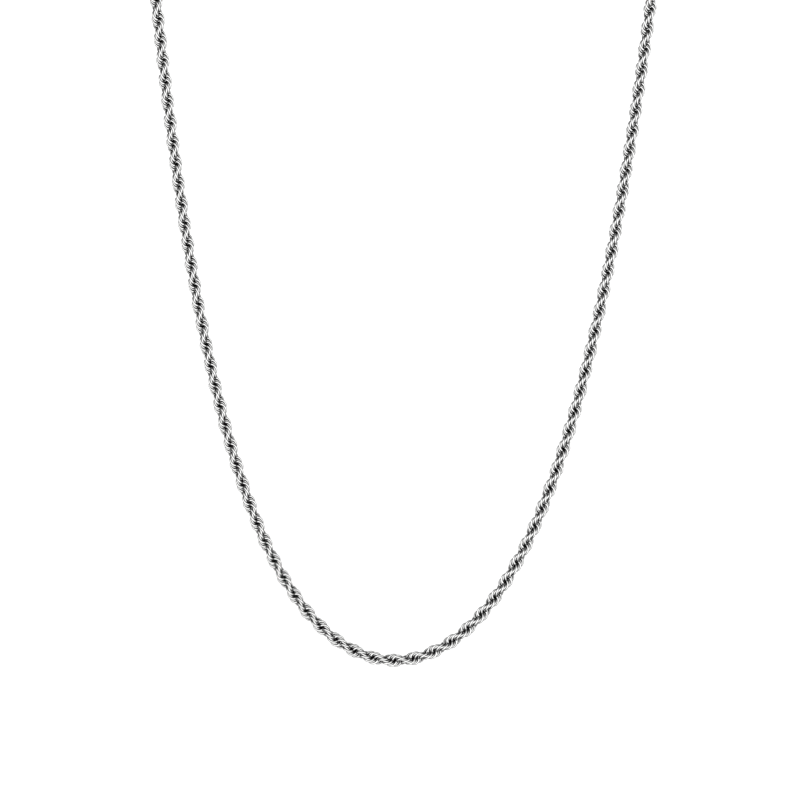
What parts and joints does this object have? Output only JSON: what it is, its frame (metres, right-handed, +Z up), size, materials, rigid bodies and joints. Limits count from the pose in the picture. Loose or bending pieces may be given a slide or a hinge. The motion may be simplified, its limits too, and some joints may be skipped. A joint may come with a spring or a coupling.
{
  "type": "chain necklace",
  "caption": "Polished silver-coloured twisted rope-chain necklace with end cups, jump rings and an unhooked lobster-claw clasp.",
  "frame": {"origin": "bottom of the necklace as it hangs: centre of the bounding box in X and Y, lowest point of the rope in Z", "axes": "+Z up as it hangs, front towards -Y, clasp end on the +X side"},
  "size_m": [0.0997, 0.0104, 0.1869],
  "materials": {
    "rope_silver": "polished silver, small wire rings",
    "cup_silver": "polished silver",
    "ring_silver": "polished silver",
    "clasp_silver": "polished silver, lightly scuffed",
    "spring_steel": "dull spring steel"
  },
  "bodies": {
    "rope_middle": {"rope_middle": "rope_silver"},
    "rope_right_01": {"rope_right_01": "rope_silver"},
    "rope_right_02": {"rope_right_02": "rope_silver"},
    "rope_right_03": {"rope_right_03": "rope_silver"},
    "rope_right_04": {"rope_right_04": "rope_silver"},
    "rope_right_05": {"rope_right_05": "rope_silver"},
    "rope_right_06": {"rope_right_06": "rope_silver"},
    "rope_right_07": {"rope_right_07": "rope_silver"},
    "rope_right_08": {"rope_right_08": "rope_silver"},
    "rope_right_09": {"rope_right_09": "rope_silver"},
    "rope_right_10": {"rope_right_10": "rope_silver"},
    "rope_right_11": {"rope_right_11": "rope_silver"},
    "rope_right_12": {"rope_right_12": "rope_silver"},
    "rope_right_13": {"rope_right_13": "rope_silver"},
    "rope_right_14": {"rope_right_14": "rope_silver"},
    "rope_right_15": {"rope_right_15": "rope_silver"},
    "rope_right_16": {"rope_right_16": "rope_silver"},
    "rope_right_17": {"rope_right_17": "rope_silver"},
    "rope_right_18": {"rope_right_18": "rope_silver"},
    "rope_right_19": {"rope_right_19": "rope_silver"},
    "rope_right_20": {"rope_right_20": "rope_silver", "end_cap_right": "cup_silver"},
    "rope_left_01": {"rope_left_01": "rope_silver"},
    "rope_left_02": {"rope_left_02": "rope_silver"},
    "rope_left_03": {"rope_left_03": "rope_silver"},
    "rope_left_04": {"rope_left_04": "rope_silver"},
    "rope_left_05": {"rope_left_05": "rope_silver"},
    "rope_left_06": {"rope_left_06": "rope_silver"},
    "rope_left_07": {"rope_left_07": "rope_silver"},
    "rope_left_08": {"rope_left_08": "rope_silver"},
    "rope_left_09": {"rope_left_09": "rope_silver"},
    "rope_left_10": {"rope_left_10": "rope_silver"},
    "rope_left_11": {"rope_left_11": "rope_silver"},
    "rope_left_12": {"rope_left_12": "rope_silver"},
    "rope_left_13": {"rope_left_13": "rope_silver"},
    "rope_left_14": {"rope_left_14": "rope_silver"},
    "rope_left_15": {"rope_left_15": "rope_silver"},
    "rope_left_16": {"rope_left_16": "rope_silver"},
    "rope_left_17": {"rope_left_17": "rope_silver"},
    "rope_left_18": {"rope_left_18": "rope_silver"},
    "rope_left_19": {"rope_left_19": "rope_silver"},
    "rope_left_20": {"rope_left_20": "rope_silver", "end_cap_left": "cup_silver"},
    "clasp_ring": {"clasp_ring": "ring_silver"},
    "clasp": {"clasp_body": "clasp_silver", "clasp_pin": "clasp_silver", "clasp_spring": "spring_steel"},
    "clasp_gate": {"clasp_gate": "clasp_silver"},
    "catch_ring": {"catch_ring": "ring_silver"}
  },
  "joints": [
    {"name": "rope_right_01_bend", "type": "hinge", "parent": "rope_middle", "child": "rope_right_01", "pos_m": [0.00512, 0, 0.00203], "axis": [-0.0007, 1, -0.0002], "range_deg": [-5, 25]},
    {"name": "rope_right_02_bend", "type": "hinge", "parent": "rope_right_01", "child": "rope_right_02", "pos_m": [0.01385, 0.00002, 0.00722], "axis": [-0.6724, 0, 0.7402], "range_deg": [-25, 25]},
    {"name": "rope_right_03_bend", "type": "hinge", "parent": "rope_right_02", "child": "rope_right_03", "pos_m": [0.02041, 0.00005, 0.01505], "axis": [0.0019, -1, 0.0029], "range_deg": [-25, 5]},
    {"name": "rope_right_04_bend", "type": "hinge", "parent": "rope_right_03", "child": "rope_right_04", "pos_m": [0.02538, 0.00009, 0.02399], "axis": [0.9039, 0, -0.4277], "range_deg": [-25, 25]},
    {"name": "rope_right_05_bend", "type": "hinge", "parent": "rope_right_04", "child": "rope_right_05", "pos_m": [0.02932, 0.00015, 0.03344], "axis": [-0.0022, 1, -0.0059], "range_deg": [-5, 25]},
    {"name": "rope_right_06_bend", "type": "hinge", "parent": "rope_right_05", "child": "rope_right_06", "pos_m": [0.03255, 0.00022, 0.04316], "axis": [-0.9574, 0, 0.2887], "range_deg": [-25, 25]},
    {"name": "rope_right_07_bend", "type": "hinge", "parent": "rope_right_06", "child": "rope_right_07", "pos_m": [0.03528, 0.0003, 0.05303], "axis": [0.0022, -1, 0.0088], "range_deg": [-25, 5]},
    {"name": "rope_right_08_bend", "type": "hinge", "parent": "rope_right_07", "child": "rope_right_08", "pos_m": [0.03764, 0.0004, 0.06299], "axis": [0.9764, 0, -0.2159], "range_deg": [-25, 25]},
    {"name": "rope_right_09_bend", "type": "hinge", "parent": "rope_right_08", "child": "rope_right_09", "pos_m": [0.03972, 0.00052, 0.07302], "axis": [-0.0023, 0.9999, -0.0116], "range_deg": [-5, 25]},
    {"name": "rope_right_10_bend", "type": "hinge", "parent": "rope_right_09", "child": "rope_right_10", "pos_m": [0.04158, 0.00064, 0.08309], "axis": [-0.9851, 0, 0.1719], "range_deg": [-25, 25]},
    {"name": "rope_right_11_bend", "type": "hinge", "parent": "rope_right_10", "child": "rope_right_11", "pos_m": [0.04326, 0.00079, 0.09319], "axis": [0.0023, -0.9999, 0.0145], "range_deg": [-25, 5]},
    {"name": "rope_right_12_bend", "type": "hinge", "parent": "rope_right_11", "child": "rope_right_12", "pos_m": [0.04479, 0.00094, 0.10332], "axis": [0.9897, 0, -0.1429], "range_deg": [-25, 25]},
    {"name": "rope_right_13_bend", "type": "hinge", "parent": "rope_right_12", "child": "rope_right_13", "pos_m": [0.04619, 0.00112, 0.11346], "axis": [-0.0023, 0.9998, -0.0173], "range_deg": [-5, 25]},
    {"name": "rope_right_14_bend", "type": "hinge", "parent": "rope_right_13", "child": "rope_right_14", "pos_m": [0.04749, 0.0013, 0.12362], "axis": [-0.9925, 0, 0.122], "range_deg": [-25, 25]},
    {"name": "rope_right_15_bend", "type": "hinge", "parent": "rope_right_14", "child": "rope_right_15", "pos_m": [0.04858, 0.0015, 0.1338], "axis": [0.0009, -0.9998, 0.0202], "range_deg": [-25, 5]},
    {"name": "rope_right_16_bend", "type": "hinge", "parent": "rope_right_15", "child": "rope_right_16", "pos_m": [0.04798, 0.00171, 0.14401], "axis": [0.9866, 0, 0.1634], "range_deg": [-25, 25]},
    {"name": "rope_right_17_bend", "type": "hinge", "parent": "rope_right_16", "child": "rope_right_17", "pos_m": [0.04525, 0.00194, 0.15386], "axis": [0.0084, 0.9997, -0.0214], "range_deg": [-5, 25]},
    {"name": "rope_right_18_bend", "type": "hinge", "parent": "rope_right_17", "child": "rope_right_18", "pos_m": [0.04053, 0.00219, 0.16292], "axis": [-0.8336, 0, -0.5524], "range_deg": [-25, 25]},
    {"name": "rope_right_19_bend", "type": "hinge", "parent": "rope_right_18", "child": "rope_right_19", "pos_m": [0.03402, 0.00244, 0.17081], "axis": [-0.0184, -0.9997, 0.018], "range_deg": [-25, 5]},
    {"name": "rope_right_20_bend", "type": "hinge", "parent": "rope_right_19", "child": "rope_right_20", "pos_m": [0.02601, 0.00271, 0.17715], "axis": [0.5349, 0, 0.8449], "range_deg": [-25, 25]},
    {"name": "rope_left_01_bend", "type": "hinge", "parent": "rope_middle", "child": "rope_left_01", "pos_m": [-0.00512, 0, 0.00203], "axis": [0.0007, -1, -0.0002], "range_deg": [-5, 25]},
    {"name": "rope_left_02_bend", "type": "hinge", "parent": "rope_left_01", "child": "rope_left_02", "pos_m": [-0.0142, -0.00002, 0.00753], "axis": [0.6833, 0, 0.7301], "range_deg": [-25, 25]},
    {"name": "rope_left_03_bend", "type": "hinge", "parent": "rope_left_02", "child": "rope_left_03", "pos_m": [-0.02092, -0.00005, 0.01584], "axis": [-0.0019, 1, 0.0031], "range_deg": [-25, 5]},
    {"name": "rope_left_04_bend", "type": "hinge", "parent": "rope_left_03", "child": "rope_left_04", "pos_m": [-0.02598, -0.0001, 0.02527], "axis": [-0.9101, 0, -0.4144], "range_deg": [-25, 25]},
    {"name": "rope_left_05_bend", "type": "hinge", "parent": "rope_left_04", "child": "rope_left_05", "pos_m": [-0.02995, -0.00016, 0.03521], "axis": [0.0022, -1, -0.0062], "range_deg": [-5, 25]},
    {"name": "rope_left_06_bend", "type": "hinge", "parent": "rope_left_05", "child": "rope_left_06", "pos_m": [-0.03321, -0.00023, 0.04541], "axis": [0.9606, 0, 0.2779], "range_deg": [-25, 25]},
    {"name": "rope_left_07_bend", "type": "hinge", "parent": "rope_left_06", "child": "rope_left_07", "pos_m": [-0.03596, -0.00033, 0.05577], "axis": [-0.0022, 1, 0.0092], "range_deg": [-25, 5]},
    {"name": "rope_left_08_bend", "type": "hinge", "parent": "rope_left_07", "child": "rope_left_08", "pos_m": [-0.03834, -0.00044, 0.06621], "axis": [-0.9782, 0, -0.2075], "range_deg": [-25, 25]},
    {"name": "rope_left_09_bend", "type": "hinge", "parent": "rope_left_08", "child": "rope_left_09", "pos_m": [-0.04043, -0.00056, 0.07671], "axis": [0.0023, -0.9999, -0.0122], "range_deg": [-5, 25]},
    {"name": "rope_left_10_bend", "type": "hinge", "parent": "rope_left_09", "child": "rope_left_10", "pos_m": [-0.04229, -0.0007, 0.08726], "axis": [0.9863, 0, 0.165], "range_deg": [-25, 25]},
    {"name": "rope_left_11_bend", "type": "hinge", "parent": "rope_left_10", "child": "rope_left_11", "pos_m": [-0.04398, -0.00086, 0.09784], "axis": [-0.0023, 0.9999, 0.0151], "range_deg": [-25, 5]},
    {"name": "rope_left_12_bend", "type": "hinge", "parent": "rope_left_11", "child": "rope_left_12", "pos_m": [-0.04551, -0.00103, 0.10844], "axis": [-0.9906, 0, -0.1369], "range_deg": [-25, 25]},
    {"name": "rope_left_13_bend", "type": "hinge", "parent": "rope_left_12", "child": "rope_left_13", "pos_m": [-0.04692, -0.00122, 0.11906], "axis": [0.0023, -0.9998, -0.018], "range_deg": [-5, 25]},
    {"name": "rope_left_14_bend", "type": "hinge", "parent": "rope_left_13", "child": "rope_left_14", "pos_m": [-0.04822, -0.00142, 0.12969], "axis": [0.9931, 0, 0.117], "range_deg": [-25, 25]},
    {"name": "rope_left_15_bend", "type": "hinge", "parent": "rope_left_14", "child": "rope_left_15", "pos_m": [-0.04844, -0.00164, 0.14037], "axis": [0.0019, 0.9998, 0.021], "range_deg": [-25, 5]},
    {"name": "rope_left_16_bend", "type": "hinge", "parent": "rope_left_15", "child": "rope_left_16", "pos_m": [-0.04632, -0.00187, 0.15085], "axis": [-0.9526, 0, 0.3043], "range_deg": [-25, 25]},
    {"name": "rope_left_17_bend", "type": "hinge", "parent": "rope_left_16", "child": "rope_left_17", "pos_m": [-0.04197, -0.00212, 0.16062], "axis": [-0.0121, -0.9997, -0.0207], "range_deg": [-5, 25]},
    {"name": "rope_left_18_bend", "type": "hinge", "parent": "rope_left_17", "child": "rope_left_18", "pos_m": [-0.03559, -0.00239, 0.16919], "axis": [0.7318, 0, -0.6815], "range_deg": [-25, 25]},
    {"name": "rope_left_19_bend", "type": "hinge", "parent": "rope_left_18", "child": "rope_left_19", "pos_m": [-0.02749, -0.00267, 0.17617], "axis": [0.0222, 0.9996, 0.0152], "range_deg": [-25, 5]},
    {"name": "rope_left_20_bend", "type": "hinge", "parent": "rope_left_19", "child": "rope_left_20", "pos_m": [-0.01807, -0.00296, 0.18121], "axis": [-0.3717, 0, 0.9283], "range_deg": [-25, 25]},
    {"name": "clasp_ring_swing", "type": "hinge", "parent": "rope_right_20", "child": "clasp_ring", "pos_m": [0.01361, 0.003, 0.18287], "axis": [-0.3464, 0, -0.9381], "range_deg": [-60, 60]},
    {"name": "clasp_swing", "type": "hinge", "parent": "clasp_ring", "child": "clasp", "pos_m": [0.01096, 0.003, 0.18385], "axis": [0, 1, 0], "range_deg": [-60, 60]},
    {"name": "clasp_gate_pivot", "type": "hinge", "parent": "clasp", "child": "clasp_gate", "pos_m": [0.00672, 0.003, 0.18432], "axis": [0, -1, 0], "range_deg": [0, 28], "stiffness_Nm_per_rad": 0.002, "springref_deg": -11.46},
    {"name": "catch_ring_swing", "type": "hinge", "parent": "rope_left_20", "child": "catch_ring", "pos_m": [-0.00436, -0.003, 0.18461], "axis": [-0.1594, 0, 0.9872], "range_deg": [-60, 60]}
  ]
}
